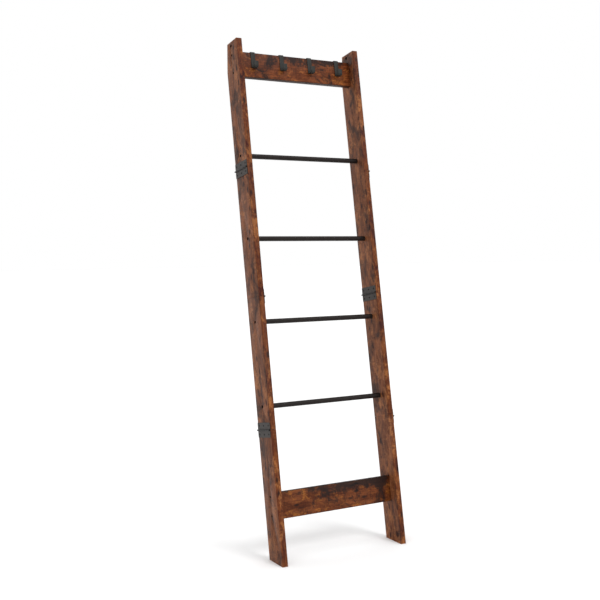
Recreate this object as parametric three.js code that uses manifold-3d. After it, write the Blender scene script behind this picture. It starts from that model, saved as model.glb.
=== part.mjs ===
// Leaning blanket ladder with two boards, four rungs and four sliding hooks.
// Units are millimetres. +Z is up, the front faces -Y and the wall is on the +Y side.
// The pieces are laid out in the ladder's own plane and leaned back as one group:
// x runs across, y from the front edge (-) to the back edge (+), z up along the rails.
import * as THREE from 'three';
import { mergeVertices } from 'three/addons/utils/BufferGeometryUtils.js';
import Module from 'manifold-3d';

const wasm = await Module();
wasm.setup();

// ---------------------------------------------------------------- driving dimensions
const WIDTH = 436.9;            // across the outer faces of the rails
const LEAN = THREE.MathUtils.degToRad(10);
const FRONT_EDGE = 1580;        // length of a rail along its front edge
const DEPTH = 79;               // rail, front edge to back edge
const THICK = 18;               // rails and boards
const BOARD_HEIGHT = 79;
const FLOOR_GAP = 125;          // foot to bottom board, at the middle of the rail
const GAPS_UPWARD = [244.7, 237.2, 237.2, 239.7, 239.7];
const RUNG_DIAMETER = 15.2;
const RUNG_WALL = 1.2;
const CHAMFER_LENGTH = 85;      // top back corner, cut parallel to the wall
const HINGE_HEIGHTS = [388, 782, 1175];
const FIT_GAP = 0.3;            // clearance between pieces that touch
const JOINT_GAP = 0.4;          // between the ends of two rail lengths
const SIDES = [[-1, 'left'], [1, 'right']];

// fasteners
const RUNG_BOLT_HEAD = 9;       // head diameters
const BOARD_BOLT_HEAD = 7;
const BOLT_HEAD_LENGTH = 4;
const BOLT_SHANK_DIAMETER = 4;
const BOLT_SINK = 1;            // how far the head lies under the rail's outer face
const BOLT_EDGE = 0.5;          // chamfer round the head
const RUNG_BOLT_LENGTH = 26;    // under the head
const BOARD_BOLT_LENGTH = 48;
const SOCKET_WIDTH = 3;         // hexagon socket, across flats
const SOCKET_DEPTH = 2.4;
const BOARD_BOLT_OFFSET = 28;   // two bolts per board end, above and below its middle
const PLUG_LENGTH = 20;
const PLUG_SINK = 0.5;          // how far the plug lies inside the rung's end
const STRAP_HOLE_DIAMETER = 10;
const STRAP_HOLE_DROP = 12;     // below the rail's top end

// butt hinges
const LEAF_HEIGHT = 22;
const LEAF_WIDTH = 76;
const LEAF_THICK = 1.6;
const KNUCKLE_DIAMETER = 5.4;
const KNUCKLE_BORE = 3.4;
const KNUCKLE_COUNT = 5;
const KNUCKLE_GAP = 0.4;
const PIN_DIAMETER = 2.8;
const PIN_OVERHANG = 3.2;       // past the rail's back edge
const SCREW_HOLE_DIAMETER = 4.2;
const SCREW_SPACING = 29;
const SCREW_HEIGHT = 13;        // from the hinge axis

// hooks
const HOOK_SPACING = 101;
const HOOK_COUNT = 4;
const HOOK_WIDTH = 15;
const HOOK_THICK = 2;
const HOOK_BACK_DROP = 28;
const HOOK_FRONT_DROP = 51.5;
const HOOK_REACH = 21.6;        // front of the lip, from the board's face
const HOOK_LIP = 19.5;
const HOOK_TOP_BEND = 1.4;      // bend radii on the strip's centre line
const HOOK_LOW_BEND = 6;

// facets round a circle
const RUNG_SIDES = 24;
const BORE_SIDES = 16;
const BOLT_SIDES = 14;
const SHANK_SIDES = 12;
const BARREL_SIDES = 10;
const BEND_STEPS = 6;

const OVERCUT = 1;              // how far a cutter reaches past the face it opens
const BEYOND = 100;             // well clear of the rail's ends and faces
const MERGE_DISTANCE = 1e-4;

// ---------------------------------------------------------------- worked-out places
const outerX = WIDTH / 2;
const innerX = outerX - THICK;
const footRise = DEPTH / 2 * Math.tan(LEAN);
const topEnd = FRONT_EDGE - footRise;
const jointHeights = [-BEYOND, ...HINGE_HEIGHTS, topEnd + BEYOND];

const boardBottoms = [FLOOR_GAP];
const rungHeights = [];
let climb = FLOOR_GAP + BOARD_HEIGHT;
for (const gap of GAPS_UPWARD.slice(0, -1)) {
  rungHeights.push(climb + gap + RUNG_DIAMETER / 2);
  climb += gap + RUNG_DIAMETER;
}
boardBottoms.push(climb + GAPS_UPWARD.at(-1));
const boardTop = boardBottoms[1] + BOARD_HEIGHT;
const boardBoltHeights = boardBottoms.map((bottom) => [-1, 1].map(
  (side) => bottom + BOARD_HEIGHT / 2 + side * BOARD_BOLT_OFFSET));

// ---------------------------------------------------------------- materials
const finish = (color, roughness, metalness) => () =>
  new THREE.MeshStandardMaterial({ color, roughness, metalness });
const wood = finish(0x7a4a2c, 0.62, 0);
const blackMetal = finish(0x2d2a29, 0.42, 0.7);
const greyMetal = finish(0x575452, 0.45, 0.8);
const boltMetal = finish(0x3a3735, 0.4, 0.85);

// ---------------------------------------------------------------- solids
function solid(geometry) {
  const bare = geometry.clone();
  bare.deleteAttribute('normal');
  bare.deleteAttribute('uv');
  const merged = mergeVertices(bare, MERGE_DISTANCE);
  return new wasm.Manifold(new wasm.Mesh({
    numProp: 3,
    vertProperties: Float32Array.from(merged.attributes.position.array),
    triVerts: Uint32Array.from(merged.index.array),
  }));
}

function geometryOf(body) {
  const { vertProperties, triVerts } = body.getMesh();
  const geometry = new THREE.BufferGeometry();
  geometry.setAttribute('position', new THREE.BufferAttribute(vertProperties, 3));
  geometry.setIndex(new THREE.BufferAttribute(triVerts, 1));
  const faceted = geometry.toNonIndexed();
  faceted.computeVertexNormals();
  return faceted;
}

// An outline in (y, z), extruded along x from x0 to x1.
const acrossAxes = new THREE.Matrix4().makeBasis(
  new THREE.Vector3(0, 1, 0), new THREE.Vector3(0, 0, 1), new THREE.Vector3(1, 0, 0));
function slab(outline, x0, x1) {
  const shape = new THREE.Shape(outline.map(([y, z]) => new THREE.Vector2(y, z)));
  const geometry = new THREE.ExtrudeGeometry(shape, { depth: x1 - x0, bevelEnabled: false });
  return geometry.applyMatrix4(acrossAxes).translate(x0, 0, 0);
}

function block([x0, x1], [y0, y1], [z0, z1]) {
  const geometry = new THREE.BoxGeometry(x1 - x0, y1 - y0, z1 - z0);
  return geometry.translate((x0 + x1) / 2, (y0 + y1) / 2, (z0 + z1) / 2);
}

// A cylinder along x, centred at height z and mid-depth.
function crossBar(diameter, x0, x1, z, sides = BORE_SIDES) {
  const geometry = new THREE.CylinderGeometry(diameter / 2, diameter / 2, x1 - x0, sides);
  return geometry.rotateZ(Math.PI / 2).translate((x0 + x1) / 2, 0, z);
}

// A cylinder along y, for hinge barrels and pins.
function depthBar(diameter, x, y0, y1, z) {
  const geometry = new THREE.CylinderGeometry(diameter / 2, diameter / 2, y1 - y0, BARREL_SIDES);
  return geometry.translate(x, (y0 + y1) / 2, z);
}

const ladder = new THREE.Group();

function add(name, geometry, material) {
  const mesh = new THREE.Mesh(geometry, material());
  mesh.name = name;
  ladder.add(mesh);
}

// Ascending pair of x values, for pieces that are mirrored from side to side.
const span = (a, b) => [Math.min(a, b), Math.max(a, b)];

// ---------------------------------------------------------------- rails
// The whole rail's outline: foot cut level with the floor, top back corner cut upright.
const railOutline = [
  [-DEPTH / 2, -footRise],
  [DEPTH / 2, footRise],
  [DEPTH / 2, topEnd - CHAMFER_LENGTH],
  [DEPTH / 2 - CHAMFER_LENGTH * Math.tan(LEAN), topEnd],
  [-DEPTH / 2, topEnd],
];
const LENGTH_NAMES = ['foot', 'lower', 'upper', 'top'];

function boltHole(side, height, headDiameter) {
  const headBottom = outerX - BOLT_SINK - BOLT_HEAD_LENGTH - FIT_GAP;
  const wide = span(side * headBottom, side * (outerX + OVERCUT));
  const narrow = span(side * (innerX - OVERCUT), side * (headBottom + OVERCUT));
  const recess = crossBar(headDiameter + 2 * FIT_GAP, ...wide, height);
  const shank = crossBar(BOLT_SHANK_DIAMETER + 2 * FIT_GAP, ...narrow, height, SHANK_SIDES);
  return solid(recess).add(solid(shank));
}

function makeRail(side, sideName) {
  let rail = solid(slab(railOutline, ...span(side * innerX, side * outerX)));
  for (const height of rungHeights) {
    rail = rail.subtract(boltHole(side, height, RUNG_BOLT_HEAD));
  }
  for (const height of boardBoltHeights.flat()) {
    rail = rail.subtract(boltHole(side, height, BOARD_BOLT_HEAD));
  }
  const through = span(side * (innerX - OVERCUT), side * (outerX + OVERCUT));
  rail = rail.subtract(solid(crossBar(STRAP_HOLE_DIAMETER, ...through, topEnd - STRAP_HOLE_DROP)));
  LENGTH_NAMES.forEach((name, index) => {
    const low = jointHeights[index] + JOINT_GAP / 2;
    const high = jointHeights[index + 1] - JOINT_GAP / 2;
    const window = block(through, [-DEPTH, DEPTH], [low, high]);
    add(`${sideName}_rail_${name}`, geometryOf(rail.intersect(solid(window))), wood);
  });
}

// ---------------------------------------------------------------- boards and rungs
function makeBoard(name, bottom, boltHeights) {
  const end = innerX - FIT_GAP;
  const reach = outerX - BOLT_SINK - BOLT_HEAD_LENGTH - BOARD_BOLT_LENGTH - OVERCUT;
  let board = solid(block([-end, end], [-THICK / 2, THICK / 2], [bottom, bottom + BOARD_HEIGHT]));
  for (const [side] of SIDES) {
    const depth = span(side * reach, side * (end + OVERCUT));
    for (const height of boltHeights) {
      const hole = crossBar(BOLT_SHANK_DIAMETER + 2 * FIT_GAP, ...depth, height, SHANK_SIDES);
      board = board.subtract(solid(hole));
    }
  }
  add(name, geometryOf(board), wood);
}

function makeRung(number, height) {
  const end = innerX - FIT_GAP;
  const boreDiameter = RUNG_DIAMETER - 2 * RUNG_WALL;
  const tube = solid(crossBar(RUNG_DIAMETER, -end, end, height, RUNG_SIDES))
    .subtract(solid(crossBar(boreDiameter, -end - OVERCUT, end + OVERCUT, height)));
  add(`rung_${number}`, geometryOf(tube), blackMetal);
  for (const [side, sideName] of SIDES) {
    const mouth = end - PLUG_SINK;
    const plugX = span(side * mouth, side * (mouth - PLUG_LENGTH));
    const threadX = span(side * (mouth + OVERCUT), side * (mouth - PLUG_LENGTH - OVERCUT));
    const thread = crossBar(BOLT_SHANK_DIAMETER + 2 * FIT_GAP, ...threadX, height, SHANK_SIDES);
    const plug = solid(crossBar(boreDiameter - 2 * FIT_GAP, ...plugX, height)).subtract(solid(thread));
    add(`rung_${number}_${sideName}_plug`, geometryOf(plug), boltMetal);
    makeBolt(`rung_${number}_${sideName}_bolt`, side, height, RUNG_BOLT_LENGTH, RUNG_BOLT_HEAD);
  }
}

// A socket-head bolt, driven inwards from the rail's outer face.
function makeBolt(name, side, height, length, headDiameter) {
  const headTop = outerX - BOLT_SINK;
  const headBottom = headTop - BOLT_HEAD_LENGTH;
  const headRadius = headDiameter / 2;
  const shankRadius = BOLT_SHANK_DIAMETER / 2;
  const profile = [
    [0, headBottom - length],
    [shankRadius, headBottom - length],
    [shankRadius, headBottom],
    [headRadius, headBottom],
    [headRadius, headTop - BOLT_EDGE],
    [headRadius - BOLT_EDGE, headTop],
    [0, headTop],
  ].map(([radius, along]) => new THREE.Vector2(radius, along));
  const turned = new THREE.LatheGeometry(profile, BOLT_SIDES).rotateZ(-Math.PI / 2);
  const socketRadius = SOCKET_WIDTH / Math.sqrt(3);
  const socket = new THREE.CylinderGeometry(socketRadius, socketRadius, SOCKET_DEPTH + OVERCUT, 6)
    .rotateZ(-Math.PI / 2).translate(headTop + (OVERCUT - SOCKET_DEPTH) / 2, 0, 0);
  const geometry = geometryOf(solid(turned).subtract(solid(socket)));
  if (side < 0) geometry.rotateZ(Math.PI);
  add(name, geometry.translate(0, 0, height), boltMetal);
}

// ---------------------------------------------------------------- hinges
// Each hinge lies on a rail face; out is the direction that face looks in.
function makeHinge(name, faceX, out, height) {
  const near = faceX + out * FIT_GAP;
  const plateX = span(near, near + out * LEAF_THICK);
  const axisX = near + out * KNUCKLE_DIAMETER / 2;
  const pitch = LEAF_WIDTH / KNUCKLE_COUNT;
  const plateStart = KNUCKLE_DIAMETER / 2 + FIT_GAP;
  const bore = solid(depthBar(KNUCKLE_BORE, axisX, -DEPTH, DEPTH, height));
  for (const [leafName, up, first] of [['upper_leaf', 1, 0], ['lower_leaf', -1, 1]]) {
    const tall = span(height + up * plateStart, height + up * LEAF_HEIGHT);
    let leaf = solid(block(plateX, [-LEAF_WIDTH / 2, LEAF_WIDTH / 2], tall));
    for (let index = first; index < KNUCKLE_COUNT; index += 2) {
      const outermost = index === KNUCKLE_COUNT - 1;
      const y0 = -LEAF_WIDTH / 2 + index * pitch + (index ? KNUCKLE_GAP / 2 : 0);
      const y1 = -LEAF_WIDTH / 2 + (index + 1) * pitch - (outermost ? 0 : KNUCKLE_GAP / 2);
      const tongue = block(plateX, [y0, y1], span(height, height + up * (plateStart + OVERCUT)));
      leaf = leaf.add(solid(tongue)).add(solid(depthBar(KNUCKLE_DIAMETER, axisX, y0, y1, height)));
    }
    leaf = leaf.subtract(bore);
    for (const place of [-1, 0, 1]) {
      const holeX = span(near - out * OVERCUT, near + out * (LEAF_THICK + OVERCUT));
      const hole = crossBar(SCREW_HOLE_DIAMETER, ...holeX, height + up * SCREW_HEIGHT, SHANK_SIDES);
      leaf = leaf.subtract(solid(hole.translate(0, place * SCREW_SPACING, 0)));
    }
    add(`${name}_${leafName}`, geometryOf(leaf), greyMetal);
  }
  const pin = depthBar(PIN_DIAMETER, axisX, -LEAF_WIDTH / 2, DEPTH / 2 + PIN_OVERHANG, height);
  add(`${name}_pin`, pin, boltMetal);
}

// ---------------------------------------------------------------- hooks
// Centre line of the bent strip in (y, z): straight runs joined by quarter bends.
function hookCentreLine() {
  const side = THICK / 2 + FIT_GAP + HOOK_THICK / 2;
  const top = boardTop + FIT_GAP + HOOK_THICK / 2;
  const low = boardTop - HOOK_FRONT_DROP + HOOK_THICK / 2;
  const lip = -THICK / 2 - HOOK_REACH + HOOK_THICK / 2;
  const line = [[side, boardTop - HOOK_BACK_DROP]];
  const bend = (y, z, radius, start, turn) => {
    for (let step = 0; step <= BEND_STEPS; step += 1) {
      const angle = start + turn * (Math.PI / 2) * step / BEND_STEPS;
      line.push([y + radius * Math.cos(angle), z + radius * Math.sin(angle)]);
    }
  };
  bend(side - HOOK_TOP_BEND, top - HOOK_TOP_BEND, HOOK_TOP_BEND, 0, 1);
  bend(-side + HOOK_TOP_BEND, top - HOOK_TOP_BEND, HOOK_TOP_BEND, Math.PI / 2, 1);
  bend(-side - HOOK_LOW_BEND, low + HOOK_LOW_BEND, HOOK_LOW_BEND, 0, -1);
  bend(lip + HOOK_LOW_BEND, low + HOOK_LOW_BEND, HOOK_LOW_BEND, -Math.PI / 2, -1);
  line.push([lip, boardTop - HOOK_FRONT_DROP + HOOK_LIP]);
  return line;
}

// Outline of a strip of even thickness along a centre line.
function stripOutline(line, thickness) {
  const offset = (sign) => line.map(([y, z], index) => {
    const [y0, z0] = line[Math.max(index - 1, 0)];
    const [y1, z1] = line[Math.min(index + 1, line.length - 1)];
    const run = Math.hypot(y1 - y0, z1 - z0);
    const half = sign * thickness / 2;
    return [y - half * (z1 - z0) / run, z + half * (y1 - y0) / run];
  });
  return [...offset(-1), ...offset(1).reverse()];
}

function makeHooks() {
  const outline = stripOutline(hookCentreLine(), HOOK_THICK);
  for (let index = 0; index < HOOK_COUNT; index += 1) {
    const x = (index - (HOOK_COUNT - 1) / 2) * HOOK_SPACING;
    add(`hook_${index + 1}`, slab(outline, x - HOOK_WIDTH / 2, x + HOOK_WIDTH / 2), blackMetal);
  }
}

// ---------------------------------------------------------------- assembly
const HINGE_NAMES = ['low', 'mid', 'high'];
for (const [side, sideName] of SIDES) {
  makeRail(side, sideName);
  HINGE_HEIGHTS.forEach((height, index) => {
    const inside = index === 1;
    const faceX = side * (inside ? innerX : outerX);
    makeHinge(`${sideName}_hinge_${HINGE_NAMES[index]}`, faceX, inside ? -side : side, height);
  });
}
['bottom', 'top'].forEach((place, index) => {
  makeBoard(`${place}_board`, boardBottoms[index], boardBoltHeights[index]);
  for (const [side, sideName] of SIDES) {
    boardBoltHeights[index].forEach((height, row) => {
      const rowName = ['lower', 'upper'][row];
      const name = `${place}_board_${sideName}_${rowName}_bolt`;
      makeBolt(name, side, height, BOARD_BOLT_LENGTH, BOARD_BOLT_HEAD);
    });
  }
});
rungHeights.forEach((height, index) => makeRung(index + 1, height));
makeHooks();

// Lean the ladder back and centre its footprint over the origin.
const frontY = -DEPTH / 2 * Math.cos(LEAN) - footRise * Math.sin(LEAN);
const backY = DEPTH / 2 * Math.cos(LEAN) + (topEnd - CHAMFER_LENGTH) * Math.sin(LEAN);
ladder.rotation.x = -LEAN;
ladder.position.y = -(frontY + backY) / 2;

export default ladder;
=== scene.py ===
"""The looks of the leaning ladder shelf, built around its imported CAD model. Units are metres."""

import math

import bmesh
import bpy
from mathutils import Matrix, Vector
from mathutils.geometry import tessellate_polygon


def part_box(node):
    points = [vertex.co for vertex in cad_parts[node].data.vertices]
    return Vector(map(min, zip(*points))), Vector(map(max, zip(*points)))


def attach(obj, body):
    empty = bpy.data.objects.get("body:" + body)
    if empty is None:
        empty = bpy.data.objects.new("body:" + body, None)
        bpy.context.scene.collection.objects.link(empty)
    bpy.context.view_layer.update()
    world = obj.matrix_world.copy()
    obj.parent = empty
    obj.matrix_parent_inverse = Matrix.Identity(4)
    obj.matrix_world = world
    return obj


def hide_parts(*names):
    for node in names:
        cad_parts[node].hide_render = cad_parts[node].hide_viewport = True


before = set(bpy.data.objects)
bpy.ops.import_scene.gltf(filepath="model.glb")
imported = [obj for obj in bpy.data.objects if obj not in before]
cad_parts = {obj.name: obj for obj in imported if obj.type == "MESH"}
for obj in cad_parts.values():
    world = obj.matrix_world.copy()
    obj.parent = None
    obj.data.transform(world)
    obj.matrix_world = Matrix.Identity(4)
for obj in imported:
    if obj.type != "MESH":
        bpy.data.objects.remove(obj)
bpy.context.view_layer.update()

MM = 0.001
HINGES = ("low", "mid", "high")
SIDES = (("left", -1), ("right", 1))
RUNGS = (1, 2, 3, 4)
HOOKS = (1, 2, 3, 4)

# Sizes that the CAD boxes don't give, as in the part's source.
FIT_GAP = 0.3 * MM
RUNG_WALL = 1.2 * MM
BOLT_HEAD = 4 * MM
BOLT_SHANK_RADIUS = 2 * MM
SOCKET_RADIUS = 1.73 * MM
SOCKET_DEPTH = 2.4 * MM
STRIP_THICK = 2 * MM
HOOK_BACK_DROP = 28 * MM
HOOK_LIP = 19.5 * MM
HOOK_TOP_BEND = 1.4 * MM
HOOK_LOW_BEND = 6 * MM
LEAF_THICK = 1.6 * MM
LEAF_WIDTH = 76 * MM
LEAF_HEIGHT = 22 * MM
KNUCKLE_RADIUS = 2.55 * MM
KNUCKLE_BORE_RADIUS = 1.7 * MM
KNUCKLE_COUNT = 5
KNUCKLE_GAP = 0.4 * MM
PIN_RADIUS = 1.4 * MM
SCREW_SPACING = 29 * MM
SCREW_HEIGHT = 13 * MM
SCREW_HOLE_RADIUS = 2.1 * MM
SINK_RADIUS = 3.3 * MM
SINK_BOTTOM = 0.5 * MM
SCREW_SINK = 0.25 * MM
TAB_START = 1.9 * MM

# Rounding that the CAD solids leave out, from one face to the next.
RUNG_EDGE = 0.35 * MM
BOLT_EDGE = 0.5 * MM
LEAF_CORNER = 2.2 * MM
KNUCKLE_EDGE = 0.3 * MM
HOOK_EDGE = 0.45 * MM
HOOK_END_RADIUS = 1.2 * MM
SHARP_ANGLE = math.radians(35)
WELD_DISTANCE = 0.0001 * MM
FACET_WELD = 0.001 * MM
FLAT_ANGLE = math.radians(0.5)
OVERCUT = 1 * MM


# ------------------------------------------------------------------ the ladder's own plane

def middle(node):
    low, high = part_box(node)
    return (low + high) / 2


def ladder_matrix():
    """x across, y from front to back, z up along the rails, with the lowest rung's middle at the origin."""
    origin = middle("rung_1")
    up = (middle("rung_4") - origin).normalized()
    across = Vector((1, 0, 0))
    matrix = Matrix((across, up.cross(across), up)).transposed().to_4x4()
    matrix.translation = origin
    return matrix


LADDER = ladder_matrix()
TO_LADDER = LADDER.inverted()


def ladder_box(node):
    """Lowest and highest corners of a CAD node, in the ladder's own plane."""
    points = [TO_LADDER @ v.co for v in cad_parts[node].data.vertices]
    low = Vector(min(p[i] for p in points) for i in range(3))
    high = Vector(max(p[i] for p in points) for i in range(3))
    return low, high


# ------------------------------------------------------------------ materials

LIGHT_GAIN = 1.2
SHEEN = 0.016
DARKEST = 0.002


def shown(red, green, blue):
    """The base colour that shows as this 0 to 255 display colour where the scene's light falls straight."""
    def one(value):
        value /= 255
        value = value / 12.92 if value <= 0.04045 else ((value + 0.055) / 1.055) ** 2.4
        return max((value - SHEEN) / LIGHT_GAIN, DARKEST)
    return (one(red), one(green), one(blue), 1)


class Look:
    """One material's node tree, with short names for the nodes it uses."""

    def __init__(self, name):
        self.material = bpy.data.materials.new(name)
        self.material.use_nodes = True
        self.tree = self.material.node_tree
        self.shader = self.tree.nodes["Principled BSDF"]

    def put(self, socket, value):
        if isinstance(value, bpy.types.NodeSocket):
            self.tree.links.new(value, socket)
        else:
            socket.default_value = value

    def node(self, kind, output, inputs=(), **settings):
        node = self.tree.nodes.new(kind)
        for key, value in settings.items():
            setattr(node, key, value)
        for key, value in dict(inputs).items():
            self.put(node.inputs[key], value)
        return node.outputs[output]

    def attribute(self, name, output="Vector"):
        return self.node("ShaderNodeAttribute", output, attribute_name=name)

    def object_coordinates(self):
        return self.node("ShaderNodeTexCoord", "Object")

    def scaled(self, vector, scale, location=(0, 0, 0)):
        inputs = {"Vector": vector, "Scale": scale, "Location": location}
        return self.node("ShaderNodeMapping", "Vector", inputs)

    def noise(self, vector, scale, detail=3, roughness=0.55, distortion=0):
        inputs = {"Vector": vector, "Scale": scale, "Detail": detail, "Roughness": roughness,
                  "Distortion": distortion}
        return self.node("ShaderNodeTexNoise", "Fac", inputs)

    def cells(self, vector, scale):
        return self.node("ShaderNodeTexVoronoi", "Distance", {"Vector": vector, "Scale": scale})

    def math(self, operation, first, second=0.0):
        return self.node("ShaderNodeMath", "Value", {0: first, 1: second}, operation=operation)

    def spread(self, value, low, high, out_low=0.0, out_high=1.0):
        inputs = {"Value": value, "From Min": low, "From Max": high, "To Min": out_low, "To Max": out_high}
        return self.node("ShaderNodeMapRange", "Result", inputs, interpolation_type="SMOOTHSTEP")

    def mix(self, factor, first, second, blend="MIX"):
        node = self.tree.nodes.new("ShaderNodeMix")
        node.data_type = "RGBA"
        node.blend_type = blend
        for index, value in ((0, factor), (6, first), (7, second)):
            self.put(node.inputs[index], value)
        return node.outputs[2]

    def shade(self, colour, value):
        """The colour times a grey value."""
        grey = self.node("ShaderNodeCombineColor", "Color", {"Red": value, "Green": value, "Blue": value})
        return self.mix(1.0, colour, grey, "MULTIPLY")

    def bump(self, height, distance, strength=1.0):
        inputs = {"Height": height, "Distance": distance, "Strength": strength}
        return self.node("ShaderNodeBump", "Normal", inputs)

    def finish(self, **sockets):
        for key, value in sockets.items():
            self.put(self.shader.inputs[key.replace("_", " ")], value)
        return self.material


# Noise and cell scales in the wood, per metre across the grain.
MOTTLE_SCALE = 230
BODY_SCALE = 36
STREAK_SCALE = 170
WORN_SCALE = 30
CLOUD_SCALE = 20
KNOT_SCALE = 55
KNOT_GATE_SCALE = 17
FIBRE_SCALE = 800
SAW_SCALE = 480
SAWN_PATCH_SCALE = 33
WOOD_SPECULAR = 0.15
WOOD_RELIEF = 0.2 * MM

# The same for metal, per metre.
PEEL_SCALE = 1100
MARK_SCALE = 90
METAL_RELIEF = 0.05 * MM


def wood_look(name, low, high, tan, smudge, spot, tan_share, smudge_share, spot_share, droop=0, rim=0):
    """Printed rustic wood. The grain attribute is (across, through, along) in metres.

    Low and high are the two ends of its brown, tan its worn patches, smudge its dark clouds and spot its
    small knots. The clouds run along the grain, or across it by as much as droop, and gather along the
    upper edge by as much as rim.
    """
    look = Look(name)
    grain = look.attribute("grain")
    mottle = look.noise(look.scaled(grain, (1, 1, 0.5), (0.7, 0.2, 0.4)), MOTTLE_SCALE, 5, 0.72, 0.3)
    ragged = look.math("MULTIPLY", look.math("SUBTRACT", mottle, 0.5), 0.42)
    body = look.noise(look.scaled(grain, (1, 1, 0.45)), BODY_SCALE, 6, 0.66, 0.6)
    streak = look.noise(look.scaled(grain, (1, 1, 0.08), (0.3, 0.1, 0.7)), STREAK_SCALE, 3, 0.6)
    tone = look.math("ADD", look.math("MULTIPLY", body, 0.65), look.math("MULTIPLY", streak, 0.35))
    tone = look.spread(look.math("ADD", tone, ragged), 0.38, 0.62)
    colour = look.mix(tone, shown(*low), shown(*high))

    worn = look.noise(look.scaled(grain, (1, 1, 0.6), (2.1, 0.4, 1.6)), WORN_SCALE, 6, 0.68, 0.9)
    worn = look.math("ADD", look.math("ADD", worn, ragged), tan_share)
    colour = look.mix(look.spread(worn, 0.53, 0.66, 0, 0.9), colour, shown(*tan))

    drift = look.scaled(grain, (1 - droop, 1, 0.42 + droop), (1.7, 0.6, 1.1))
    cloud = look.noise(drift, CLOUD_SCALE, 6, 0.68, 1.0)
    gathered = look.spread(look.attribute("height", "Fac"), 0.5, 1.0, -0.3 * rim, rim)
    cloud = look.math("ADD", look.math("ADD", cloud, ragged), look.math("ADD", gathered, smudge_share))
    cloud = look.spread(cloud, 0.52, 0.66, 0, 0.92)
    colour = look.mix(cloud, colour, shown(*smudge))

    place = look.scaled(grain, (1, 1, 0.45), (0.5, 1.3, 0.9))
    knot = look.math("SUBTRACT", look.cells(place, KNOT_SCALE), ragged)
    gate = look.noise(place, KNOT_GATE_SCALE, 1)
    gate = look.spread(gate, 0.52 - 0.12 * spot_share, 0.60 - 0.12 * spot_share)
    knot = look.math("MULTIPLY", look.spread(knot, 0.14, 0.34, 0.9, 0), gate)
    colour = look.mix(knot, colour, shown(*spot))

    fibre = look.noise(look.scaled(grain, (1, 1, 0.04), (0.9, 0.4, 0.2)), FIBRE_SCALE, 2, 0.5)
    colour = look.shade(colour, look.spread(fibre, 0.28, 0.72, 0.70, 1.18))
    saw = look.noise(look.scaled(grain, (0.10, 0.10, 1), (0.2, 0.8, 0.5)), SAW_SCALE, 2, 0.6)
    sawn = look.spread(look.noise(grain, SAWN_PATCH_SCALE, 3), 0.44, 0.58)
    saw = look.math("MULTIPLY", look.spread(saw, 0.52, 0.66, 0, 0.45), sawn)
    colour = look.shade(colour, look.math("SUBTRACT", 1.0, saw))

    rough = look.spread(look.math("ADD", fibre, look.math("MULTIPLY", cloud, 0.2)), 0.3, 0.8, 0.42, 0.58)
    relief = look.math("ADD", look.math("MULTIPLY", fibre, 0.7), look.math("MULTIPLY", mottle, 0.5))
    relief = look.math("SUBTRACT", relief, look.math("MULTIPLY", saw, 0.6))
    return look.finish(Base_Color=colour, Roughness=rough, Normal=look.bump(relief, WOOD_RELIEF, 0.6),
                       Specular_IOR_Level=WOOD_SPECULAR)


def metal_look(name, colour, worn, roughness, specular):
    """Powder coat or blackened steel: a fine orange-peel surface with faint handling marks."""
    look = Look(name)
    place = look.object_coordinates()
    peel = look.noise(place, PEEL_SCALE, 2, 0.5)
    marks = look.noise(look.scaled(place, (1, 1, 0.4)), MARK_SCALE, 5, 0.7, 0.8)
    base = look.mix(look.spread(marks, 0.40, 0.72, 0, 0.8), shown(*colour), shown(*worn))
    base = look.shade(base, look.spread(peel, 0.3, 0.7, 0.80, 1.15))
    rough = look.spread(marks, 0.3, 0.7, roughness - 0.06, roughness + 0.08)
    return look.finish(Base_Color=base, Roughness=rough, Specular_IOR_Level=specular,
                       Normal=look.bump(peel, METAL_RELIEF, 0.6))


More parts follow.
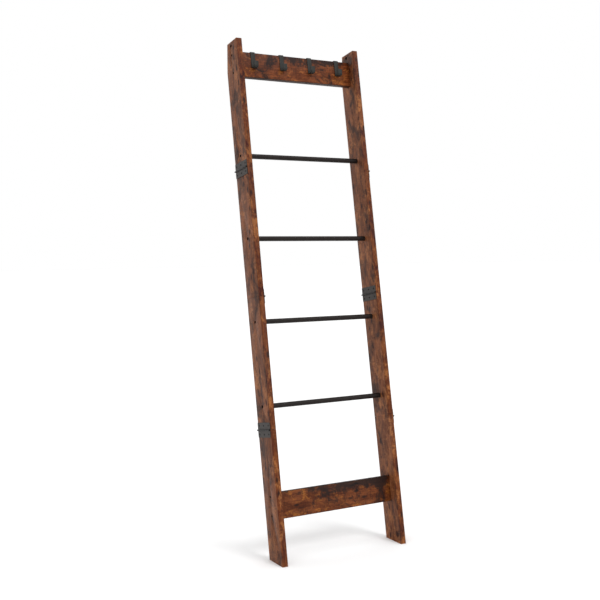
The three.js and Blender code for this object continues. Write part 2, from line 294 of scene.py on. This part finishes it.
UMBER = (49, 42, 41)
KNOT = (40, 26, 21)
LOOKS = {
    # The rails' side faces: the same laminate as their front and back, painted greyer and lighter as a
    # painted sheen of the white surround seen at a grazing angle.
    "rail_face_painted_sheen": wood_look("rail_face_painted_sheen", (106, 66, 48), (143, 92, 66), (166, 110, 74), (74, 57, 52),
                           (52, 35, 30), 0.03, 0.03, 0.3),
    "rail_edge": wood_look("rail_edge", (90, 48, 30), (128, 76, 47), (162, 105, 64), (66, 36, 26),
                           (46, 25, 19), 0.03, 0.01, 0.9),
    "top_board_face": wood_look("top_board_face", (96, 54, 38), (136, 79, 51), (166, 102, 56), UMBER, KNOT,
                                0.0, 0.0, -0.5, 0.3, 0.13),
    "low_board_face": wood_look("low_board_face", (88, 50, 34), (128, 76, 50), (160, 99, 52), UMBER, KNOT,
                                0.01, 0.0, -0.4, 0.3, 0.13),
    # The boards' top and bottom edges: the same wood as their faces, painted much darker as painted shade on
    # the faces turned away from the frontal light.
    "board_edge_painted_shade": wood_look("board_edge_painted_shade", (46, 31, 25), (72, 46, 35), (92, 59, 40), (34, 28, 27), KNOT,
                            0.0, 0.04, 0.4),
    # The boards' rounded edges: painted dark as painted shade, to go with the shaded top and bottom edges.
    "board_arris_painted_shade": wood_look("board_arris_painted_shade", (42, 28, 22), (68, 43, 32), (88, 56, 38), (34, 28, 27), KNOT,
                             0.0, 0.03, 0.4),
    "wood_end": wood_look("wood_end", (84, 54, 42), (122, 78, 56), (142, 94, 64), (60, 46, 42), KNOT,
                          0.0, 0.03, 0.4),
    "wood_arris": wood_look("wood_arris", (52, 32, 24), (86, 52, 35), (118, 73, 45), UMBER, KNOT,
                            0.0, 0.03, 0.4),
    # The walls of the bolt holes: the wood's fibre core, painted near black as painted shade in the recess
    # around each bolt head.
    "fibre_core_and_hole_shade": wood_look("fibre_core_and_hole_shade", (22, 17, 15), (30, 22, 18), (38, 28, 22), (20, 17, 16), KNOT,
                            0.0, 0.0, 0.2),
    "rung_coat": metal_look("rung_coat", (46, 42, 41), (54, 50, 48), 0.42, 0.16),
    "hook_coat": metal_look("hook_coat", (54, 54, 52), (68, 68, 65), 0.48, 0.20),
    "hinge_steel": metal_look("hinge_steel", (64, 60, 58), (82, 78, 75), 0.46, 0.22),
    # The hinge knuckles: the same steel as the leaves, painted darker as painted shade under the barrel and
    # in the gap between the leaves.
    "knuckle_steel_painted_shade": metal_look("knuckle_steel_painted_shade", (44, 41, 40), (58, 55, 53), 0.40, 0.18),
    "screw_steel": metal_look("screw_steel", (30, 28, 28), (42, 40, 40), 0.42, 0.10),
    "bolt_black": metal_look("bolt_black", (16, 15, 15), (26, 24, 23), 0.60, 0.02),
}


# ------------------------------------------------------------------ mesh helpers

def add_piece(name, mesh, body, replaced, looks):
    """Puts a mesh that is already in the frame's coordinates into the scene as a finished piece."""
    mesh.shade_smooth()
    mesh.set_sharp_from_angle(angle=SHARP_ANGLE)
    piece = bpy.data.objects.new(name, mesh)
    bpy.context.scene.collection.objects.link(piece)
    indices = [polygon.material_index for polygon in mesh.polygons]
    mesh.materials.clear()
    for look in looks:
        mesh.materials.append(LOOKS[look])
    mesh.polygons.foreach_set("material_index", indices)
    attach(piece, body)
    if replaced:
        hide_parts(replaced)
    return piece


def mesh_from(bm, name):
    bmesh.ops.recalc_face_normals(bm, faces=bm.faces)
    mesh = bpy.data.meshes.new(name)
    bm.to_mesh(mesh)
    bm.free()
    return mesh


def placed(mesh, matrix, name):
    """A copy of the mesh moved by the matrix, turned right side out if the matrix mirrors it."""
    copy = mesh.copy()
    copy.name = name
    copy.transform(matrix)
    if matrix.determinant() < 0:
        copy.flip_normals()
    return copy


def add_turned(bm, profile, sides, matrix=Matrix()):
    """A solid of revolution about x. The profile is (x, radius) pairs; radius 0 closes on the axis."""
    rings = []
    for x, radius in profile:
        if radius == 0:
            rings.append([bm.verts.new(matrix @ Vector((x, 0, 0)))])
            continue
        angles = [2 * math.pi * step / sides for step in range(sides)]
        rings.append([bm.verts.new(matrix @ Vector((x, radius * math.cos(a), radius * math.sin(a))))
                      for a in angles])
    for ring, following in zip(rings, rings[1:]):
        for step in range(sides):
            after = (step + 1) % sides
            corners = [ring[step % len(ring)], ring[after % len(ring)],
                       following[after % len(following)], following[step % len(following)]]
            unique = list(dict.fromkeys(corners))
            if len(unique) > 2:
                bm.faces.new(unique)


def add_prism(bm, outline, low, high):
    """An outline of (u, v) points, extruded along w."""
    floor = [bm.verts.new((u, v, low)) for u, v in outline]
    roof = [bm.verts.new((u, v, high)) for u, v in outline]
    bm.faces.new(floor)
    bm.faces.new(roof)
    for i in range(len(outline)):
        j = (i + 1) % len(outline)
        bm.faces.new((floor[i], floor[j], roof[j], roof[i]))


def combined(base, tool, operation):
    """The exact union or difference of two meshes, as a new mesh."""
    objects = [bpy.data.objects.new("boolean_work", mesh) for mesh in (base, tool)]
    for item in objects:
        bpy.context.scene.collection.objects.link(item)
    modifier = objects[0].modifiers.new("boolean", "BOOLEAN")
    modifier.object = objects[1]
    modifier.operation = operation
    modifier.solver = "EXACT"
    graph = bpy.context.evaluated_depsgraph_get()
    result = bpy.data.meshes.new_from_object(objects[0].evaluated_get(graph))
    for item in objects:
        bpy.data.objects.remove(item)
    return result


def softened(mesh, grain_line, material_index):
    """Merges flat facets and rounds the sharp edges: more along the grain line, less across it."""
    bm = bmesh.new()
    bm.from_mesh(mesh)
    bmesh.ops.remove_doubles(bm, verts=bm.verts, dist=FACET_WELD)
    bmesh.ops.dissolve_limit(bm, angle_limit=FLAT_ANGLE, verts=bm.verts, edges=bm.edges)
    for along_grain, width, segments in ((True, ARRIS_WIDTH, 3), (False, END_ARRIS_WIDTH, 2)):
        sharp = []
        for edge in bm.edges:
            run = (edge.verts[0].co - edge.verts[1].co).normalized()
            lengthwise = abs(run.dot(grain_line)) > 0.9
            if lengthwise == along_grain and edge.calc_face_angle(0) > SHARP_ANGLE:
                sharp.append(edge)
        bmesh.ops.bevel(bm, geom=sharp, offset=width, segments=segments, profile=0.5, affect="EDGES",
                        clamp_overlap=True, material=material_index)
    return mesh_from(bm, mesh.name)


# ------------------------------------------------------------------ wood

FACE, EDGE, END, CORE, ARRIS = range(5)
HOLE_FACE_AREA = 150e-6
ARRIS_WIDTH = 0.9 * MM
END_ARRIS_WIDTH = 0.3 * MM


def make_wood(node, looks, along, across, through, number):
    """A rail length or board: rounded edges, grain coordinates, and a look for each kind of face."""
    grain_line = LADDER.to_3x3() @ Vector([float(axis == along) for axis in range(3)])
    mesh = softened(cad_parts[node].data, grain_line, ARRIS)
    mesh.name = node + "_wood"
    mesh.attributes.new("grain", "FLOAT_VECTOR", "POINT")
    mesh.attributes.new("height", "FLOAT", "POINT")
    grain, height = mesh.attributes["grain"], mesh.attributes["height"]
    low, high = ladder_box(node)
    shift = Vector((0.37 * number, 0.11 * number, 0.83 * number))
    for vertex, value, share in zip(mesh.vertices, grain.data, height.data):
        place = TO_LADDER @ vertex.co
        value.vector = Vector((place[across], place[through], place[along])) + shift
        share.value = (place[across] - low[across]) / (high[across] - low[across])
    turn = TO_LADDER.to_3x3()
    for polygon in mesh.polygons:
        if polygon.material_index == ARRIS:
            continue
        normal = turn @ polygon.normal
        # Small faces are the hole walls; their look holds the painted shade of the recess.
        if polygon.area < HOLE_FACE_AREA:
            polygon.material_index = CORE
        elif abs(normal[through]) > 0.9:
            polygon.material_index = FACE
        elif abs(normal[along]) > 0.9:
            polygon.material_index = END
        else:
            polygon.material_index = EDGE
    # Boards take the arris with painted shade; rails take their own arris.
    looks += ("wood_end", "fibre_core_and_hole_shade", "board_arris_painted_shade" if "board" in node else "wood_arris")
    add_piece(node + "_wood", mesh, "ladder", node, looks)


def make_all_wood():
    X, Y, Z = range(3)
    for number, (side, _) in enumerate(SIDES, start=1):
        for length in ("foot", "lower", "upper", "top"):
            # The rails' sides take the look with the painted sheen.
            make_wood(f"{side}_rail_{length}", ("rail_face_painted_sheen", "rail_edge"), Z, Y, X, number)
    # The boards' top and bottom edges take the look with the painted shade.
    make_wood("bottom_board", ("low_board_face", "board_edge_painted_shade"), X, Z, Y, 3)
    make_wood("top_board", ("top_board_face", "board_edge_painted_shade"), X, Z, Y, 4)


# ------------------------------------------------------------------ rungs and bolts

RUNG_SIDES = 64
RUNG_LOOPS = 16
BOLT_SIDES = 40


def make_rung(number):
    low, high = ladder_box(f"rung_{number}")
    radius = (high.z - low.z) / 2
    bore = radius - RUNG_WALL
    end = (high.x - low.x) / 2
    straight = end - RUNG_EDGE
    centre = (low + high) / 2
    loops = [(-end, bore), (-end, radius - RUNG_EDGE), (-straight, radius)]
    loops += [(-straight + 2 * straight * step / RUNG_LOOPS, radius) for step in range(1, RUNG_LOOPS)]
    loops += [(straight, radius), (end, radius - RUNG_EDGE), (end, bore), (-end, bore)]
    bm = bmesh.new()
    add_turned(bm, loops, RUNG_SIDES)
    bmesh.ops.remove_doubles(bm, verts=bm.verts, dist=WELD_DISTANCE)
    mesh = mesh_from(bm, f"rung_{number}_tube")
    mesh = placed(mesh, LADDER @ Matrix.Translation(centre), mesh.name)
    add_piece(mesh.name, mesh, "ladder", f"rung_{number}", ("rung_coat",))


def bolt_mesh(length, head_radius):
    """A socket-head bolt along x, with its head's top at x = 0 and its tip at -length."""
    edge, shank = BOLT_EDGE, BOLT_SHANK_RADIUS
    rounding = [(-edge + edge * math.sin(a), head_radius - edge + edge * math.cos(a))
                for a in (math.pi / 2 * step / 4 for step in range(5))]
    profile = [(-length, 0), (-length, shank - edge), (-length + edge, shank), (-BOLT_HEAD, shank),
               (-BOLT_HEAD, head_radius)] + rounding + [(0, 0)]
    bm = bmesh.new()
    add_turned(bm, profile, BOLT_SIDES)
    body = mesh_from(bm, "bolt_body")
    bm = bmesh.new()
    socket_wall = SOCKET_DEPTH - 0.4 * MM
    socket = [(-SOCKET_DEPTH, 0), (-socket_wall, SOCKET_RADIUS), (OVERCUT, SOCKET_RADIUS), (OVERCUT, 0)]
    add_turned(bm, socket, 6)
    return combined(body, mesh_from(bm, "bolt_socket"), "DIFFERENCE")


def make_bolts():
    meshes = {}
    names = [f"rung_{n}_{side}_bolt" for n in RUNGS for side, _ in SIDES]
    names += [f"{board}_board_{side}_{row}_bolt" for board in ("bottom", "top")
              for side, _ in SIDES for row in ("lower", "upper")]
    for name in names:
        low, high = ladder_box(name)
        size = (round(high.x - low.x, 4), round(max(high.y - low.y, high.z - low.z) / 2, 4))
        if size not in meshes:
            meshes[size] = bolt_mesh(*size)
        sign = 1 if high.x + low.x > 0 else -1
        centre = (low + high) / 2
        head = Vector((high.x if sign > 0 else low.x, centre.y, centre.z))
        matrix = LADDER @ Matrix.Translation(head) @ Matrix.Diagonal((sign, 1, 1, 1))
        mesh = placed(meshes[size], matrix, name + "_steel")
        add_piece(mesh.name, mesh, "ladder", name, ("bolt_black",))


# ------------------------------------------------------------------ hinges
# Leaf coordinates: u along the pin, v away from the pin, w out from the rail's face.

def arc(centre, radius, start, end, steps):
    angles = [start + (end - start) * step / steps for step in range(steps + 1)]
    return [(centre[0] + radius * math.cos(a), centre[1] + radius * math.sin(a)) for a in angles]


def knuckle_spans(width, first):
    pitch = width / KNUCKLE_COUNT
    for index in range(first, KNUCKLE_COUNT, 2):
        start = -width / 2 + index * pitch + (KNUCKLE_GAP / 2 if index else 0)
        end = -width / 2 + (index + 1) * pitch - (KNUCKLE_GAP / 2 if index < KNUCKLE_COUNT - 1 else 0)
        yield start, end


OUT_OF_FACE = Matrix.Rotation(-math.pi / 2, 4, "Y")
HINGE_SIDES = 32
PIN_SIDES = 28


def leaf_outline(width, first):
    """The plate's outline: tabs under its own knuckles, and rounded corners at its far edge."""
    corner = LEAF_CORNER
    start = KNUCKLE_RADIUS + FIT_GAP
    outline = [(-width / 2, start)]
    for low, high in knuckle_spans(width, first):
        outline += [(low, start), (low, TAB_START), (high, TAB_START), (high, start)]
    outline += [(width / 2, start)]
    outline += arc((width / 2 - corner, LEAF_HEIGHT - corner), corner, 0, math.pi / 2, 6)
    outline += arc((-width / 2 + corner, LEAF_HEIGHT - corner), corner, math.pi / 2, math.pi, 6)
    return [p for p, q in zip(outline, outline[-1:] + outline) if math.dist(p, q) > 1e-7]


def leaf_mesh(width, first):
    """One hinge leaf: a plate with countersunk screw holes, and the knuckles along its edge."""
    bm = bmesh.new()
    outline = leaf_outline(width, first)
    levels = ((0, SCREW_HOLE_RADIUS), (SINK_BOTTOM, SCREW_HOLE_RADIUS), (LEAF_THICK, SINK_RADIUS))
    centres = [(place * SCREW_SPACING, SCREW_HEIGHT) for place in (-1, 0, 1)]
    rims = []
    for w, radius in levels:
        circles = [arc(centre, radius, 2 * math.pi, 0, HINGE_SIDES)[:-1] for centre in centres]
        rims.append([[bm.verts.new((u, v, w)) for u, v in circle] for circle in circles])
    edges = [[bm.verts.new((u, v, w)) for u, v in outline] for w in (0, LEAF_THICK)]
    for edge, rim in zip(edges, (rims[0], rims[-1])):
        loops = [edge] + rim
        corners = [vert for loop in loops for vert in loop]
        for triangle in tessellate_polygon([[vert.co for vert in loop] for loop in loops]):
            bm.faces.new([corners[index] for index in triangle])
    walls = [(edges[0], edges[1])]
    walls += [pair for low, high in zip(rims, rims[1:]) for pair in zip(low, high)]
    for low, high in walls:
        for i in range(len(low)):
            j = (i + 1) % len(low)
            bm.faces.new((low[i], low[j], high[j], high[i]))
    plate_faces = len(bm.faces)
    edge = KNUCKLE_EDGE
    for low, high in knuckle_spans(width, first):
        ring = [(low, KNUCKLE_BORE_RADIUS), (low, KNUCKLE_RADIUS - edge), (low + edge, KNUCKLE_RADIUS),
                (high - edge, KNUCKLE_RADIUS), (high, KNUCKLE_RADIUS - edge), (high, KNUCKLE_BORE_RADIUS),
                (low, KNUCKLE_BORE_RADIUS)]
        add_turned(bm, ring, HINGE_SIDES, Matrix.Translation((0, 0, KNUCKLE_RADIUS)))
    bmesh.ops.remove_doubles(bm, verts=bm.verts, dist=WELD_DISTANCE)
    # The knuckles take the second look: a darker copy of the leaf steel that paints the shade under the
    # barrel.
    for face in list(bm.faces)[plate_faces:]:
        face.material_index = 1
    return mesh_from(bm, "leaf")


def screw_mesh():
    """A countersunk cross-head screw, its axis along x and the top of its head at x = 0."""
    profile = [(-9 * MM, 0), (-6 * MM, 1.2 * MM), (-1.7 * MM, 1.3 * MM), (-1.5 * MM, 1.7 * MM),
               (-0.25 * MM, 3.0 * MM), (-0.08 * MM, 3.02 * MM), (0.05 * MM, 2.7 * MM), (0.22 * MM, 1.6 * MM),
               (0.28 * MM, 0)]
    bm = bmesh.new()
    add_turned(bm, profile, HINGE_SIDES)
    head = mesh_from(bm, "screw_head")
    bm = bmesh.new()
    arm, half = 1.75 * MM, 0.42 * MM
    cross = [(arm, half), (half, half), (half, arm), (-half, arm), (-half, half), (-arm, half),
             (-arm, -half), (-half, -half), (-half, -arm), (half, -arm), (half, -half), (arm, -half)]
    add_prism(bm, cross, -OVERCUT, OVERCUT)
    bmesh.ops.rotate(bm, verts=bm.verts, cent=(0, 0, 0), matrix=Matrix.Rotation(math.pi / 2, 3, "Y"))
    return combined(head, mesh_from(bm, "screw_cross"), "DIFFERENCE")


def pin_mesh(length):
    """A hinge pin along x from 0 to length, with domed ends."""
    radius = PIN_RADIUS
    dome = [(radius * 0.6 * (1 - math.cos(a)), radius * math.sin(a))
            for a in (math.pi / 2 * step / 5 for step in range(6))]
    profile = dome + [(length - x, r) for x, r in reversed(dome)]
    bm = bmesh.new()
    add_turned(bm, profile, PIN_SIDES)
    return mesh_from(bm, "hinge_pin")


def make_hinges():
    leaves = {"upper": leaf_mesh(LEAF_WIDTH, 0), "lower": leaf_mesh(LEAF_WIDTH, 1)}
    screw = screw_mesh()
    for side, side_sign in SIDES:
        for place in HINGES:
            name = f"{side}_hinge_{place}"
            out = -side_sign if place == "mid" else side_sign
            low, high = ladder_box(name + "_upper_leaf")
            root_x = low.x if out > 0 else high.x
            height = low.z + KNUCKLE_RADIUS
            for leaf, up in (("upper", 1), ("lower", -1)):
                axes = Matrix(((0, 0, out, root_x), (1, 0, 0, 0), (0, up, 0, height), (0, 0, 0, 1)))
                node = f"{name}_{leaf}_leaf"
                mesh = placed(leaves[leaf], LADDER @ axes, node + "_steel")
                add_piece(mesh.name, mesh, "ladder", node, ("hinge_steel", "knuckle_steel_painted_shade"))
                bm = bmesh.new()
                for spot in (-1, 0, 1):
                    turn = Matrix.Rotation(math.radians(25 + 40 * spot + 15 * up), 4, "X")
                    at = Matrix.Translation((spot * SCREW_SPACING, SCREW_HEIGHT, LEAF_THICK - SCREW_SINK))
                    bm.from_mesh(placed(screw, LADDER @ axes @ at @ OUT_OF_FACE @ turn, "screw"))
                mesh = mesh_from(bm, f"{name}_{leaf}_screws")
                add_piece(mesh.name, mesh, "ladder", None, ("screw_steel",))
            low, high = ladder_box(name + "_pin")
            axis = Vector(((low.x + high.x) / 2, low.y, (low.z + high.z) / 2))
            matrix = LADDER @ Matrix.Translation(axis) @ Matrix.Rotation(math.pi / 2, 4, "Z")
            mesh = placed(pin_mesh(high.y - low.y), matrix, name + "_pin_steel")
            add_piece(mesh.name, mesh, "ladder", name + "_pin", ("screw_steel",))


# ------------------------------------------------------------------ hooks

HOOK_STEP = 3 * MM
HOOK_FINE_RUN = 5 * MM


def hook_line(low, high, board_top):
    """The strip's centre line in (y, z), from the end behind the board to the top of the lip."""
    half = STRIP_THICK / 2
    back, top, bottom, lip = high.y - half, high.z - half, low.z + half, low.y + half
    line = [(back, board_top - HOOK_BACK_DROP)]
    line += arc((back - HOOK_TOP_BEND, top - HOOK_TOP_BEND), HOOK_TOP_BEND, 0, math.pi / 2, 8)
    line += arc((-back + HOOK_TOP_BEND, top - HOOK_TOP_BEND), HOOK_TOP_BEND, math.pi / 2, math.pi, 8)
    line += arc((-back - HOOK_LOW_BEND, bottom + HOOK_LOW_BEND), HOOK_LOW_BEND, 0, -math.pi / 2, 12)
    line += arc((lip + HOOK_LOW_BEND, bottom + HOOK_LOW_BEND), HOOK_LOW_BEND, -math.pi / 2, -math.pi, 12)
    line += [(lip, low.z + HOOK_LIP)]
    return line


def resampled(line, step):
    """The same line with points no further apart than step, and close together near its two ends."""
    points = [line[0]]
    total = sum(math.dist(p, q) for p, q in zip(line, line[1:]))
    travelled = 0
    for p, q in zip(line, line[1:]):
        run = math.dist(p, q)
        near_end = travelled < HOOK_FINE_RUN or travelled + run > total - HOOK_FINE_RUN
        count = max(1, math.ceil(run / (step / 6 if near_end else step)))
        points += [(p[0] + (q[0] - p[0]) * i / count, p[1] + (q[1] - p[1]) * i / count)
                   for i in range(1, count + 1)]
        travelled += run
    return points


def make_hook(number):
    node = f"hook_{number}"
    low, high = ladder_box(node)
    board_top = ladder_box("top_board")[1].z
    line = resampled(hook_line(low, high, board_top), HOOK_STEP)
    lengths = [0]
    for p, q in zip(line, line[1:]):
        lengths.append(lengths[-1] + math.dist(p, q))
    half_width = (high.x - low.x) / 2
    centre_x = (high.x + low.x) / 2
    bm = bmesh.new()
    rings = []
    for index, ((y, z), travelled) in enumerate(zip(line, lengths)):
        p, q = line[max(index - 1, 0)], line[min(index + 1, len(line) - 1)]
        run = math.dist(p, q)
        normal = Vector((0, (q[1] - p[1]) / run, -(q[0] - p[0]) / run))
        from_end = min(travelled, lengths[-1] - travelled)
        inset = max(0, HOOK_END_RADIUS - from_end)
        half = half_width - HOOK_END_RADIUS + math.sqrt(max(HOOK_END_RADIUS ** 2 - inset ** 2, 0))
        section = []
        for sx, sn in ((1, 1), (-1, 1), (-1, -1), (1, -1)):
            start = math.atan2(sn, sx) - math.pi / 4
            for step in range(4):
                angle = start + math.pi / 2 * step / 3
                section.append((sx * (half - HOOK_EDGE) + HOOK_EDGE * math.cos(angle),
                                sn * (STRIP_THICK / 2 - HOOK_EDGE) + HOOK_EDGE * math.sin(angle)))
        rings.append([bm.verts.new(Vector((centre_x + s, y, z)) + normal * t) for s, t in section])
    for ring, following in zip(rings, rings[1:]):
        for i in range(len(ring)):
            j = (i + 1) % len(ring)
            bm.faces.new((ring[i], ring[j], following[j], following[i]))
    bm.faces.new(rings[0])
    bm.faces.new(rings[-1])
    mesh = placed(mesh_from(bm, node + "_strip"), LADDER, node + "_strip")
    add_piece(node + "_strip", mesh, node, node, ("hook_coat",))


# ------------------------------------------------------------------ hidden plugs

def finish_plugs():
    for number in RUNGS:
        for side, _ in SIDES:
            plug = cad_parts[f"rung_{number}_{side}_plug"]
            plug.data.materials.clear()
            plug.data.materials.append(LOOKS["bolt_black"])


# ------------------------------------------------------------------ stage, light and camera

FLOOR_REACH = 30
FLOOR_GREY = 0.93
KEY_STRENGTH = 1.1
KEY_ANGLE = math.radians(24)
KEY_DIRECTION = Vector((-0.25, 0.75, -0.75))
CAMERA_PLACE = (-1.5128, -2.5352, 0.9331)
CAMERA_AZIMUTH = math.radians(29.81)
CAMERA_DROP = math.radians(3.42)
CAMERA_ROLL = math.radians(-0.275)
CAMERA_LENS = 57.25


def make_floor():
    bm = bmesh.new()
    corners = ((-1, -1), (1, -1), (1, 1), (-1, 1))
    bm.faces.new([bm.verts.new((x * FLOOR_REACH, y * FLOOR_REACH, 0)) for x, y in corners])
    floor = bpy.data.objects.new("floor", mesh_from(bm, "floor"))
    bpy.context.scene.collection.objects.link(floor)
    look = Look("floor")
    pale = (FLOOR_GREY, FLOOR_GREY, FLOOR_GREY, 1)
    floor.data.materials.append(look.finish(Base_Color=pale, Roughness=0.9, Specular_IOR_Level=0.1))


def make_light():
    """An even white surround with a soft key from above the front."""
    world = bpy.data.worlds.new("studio")
    world.use_nodes = True
    background = world.node_tree.nodes["Background"]
    background.inputs["Color"].default_value = (1, 1, 1, 1)
    background.inputs["Strength"].default_value = 1.0
    bpy.context.scene.world = world
    data = bpy.data.lights.new("key", "SUN")
    data.angle = KEY_ANGLE
    data.energy = KEY_STRENGTH
    key = bpy.data.objects.new("key", data)
    bpy.context.scene.collection.objects.link(key)
    key.rotation_euler = KEY_DIRECTION.to_track_quat("-Z", "Y").to_euler()


def make_camera():
    """A level, slightly long lens, a little to the left of the front."""
    data = bpy.data.cameras.new("camera")
    data.lens = CAMERA_LENS
    data.sensor_width = 36
    camera = bpy.data.objects.new("camera", data)
    bpy.context.scene.collection.objects.link(camera)
    camera.matrix_world = (Matrix.Translation(CAMERA_PLACE)
                           @ Matrix.Rotation(-CAMERA_AZIMUTH, 4, "Z")
                           @ Matrix.Rotation(math.pi / 2 - CAMERA_DROP, 4, "X")
                           @ Matrix.Rotation(CAMERA_ROLL, 4, "Z"))
    bpy.context.scene.camera = camera


make_camera()
make_all_wood()
for rung in RUNGS:
    make_rung(rung)
make_bolts()
make_hinges()
for hook in HOOKS:
    make_hook(hook)
finish_plugs()
make_floor()
make_light()
bpy.context.scene.view_settings.view_transform = "Standard"
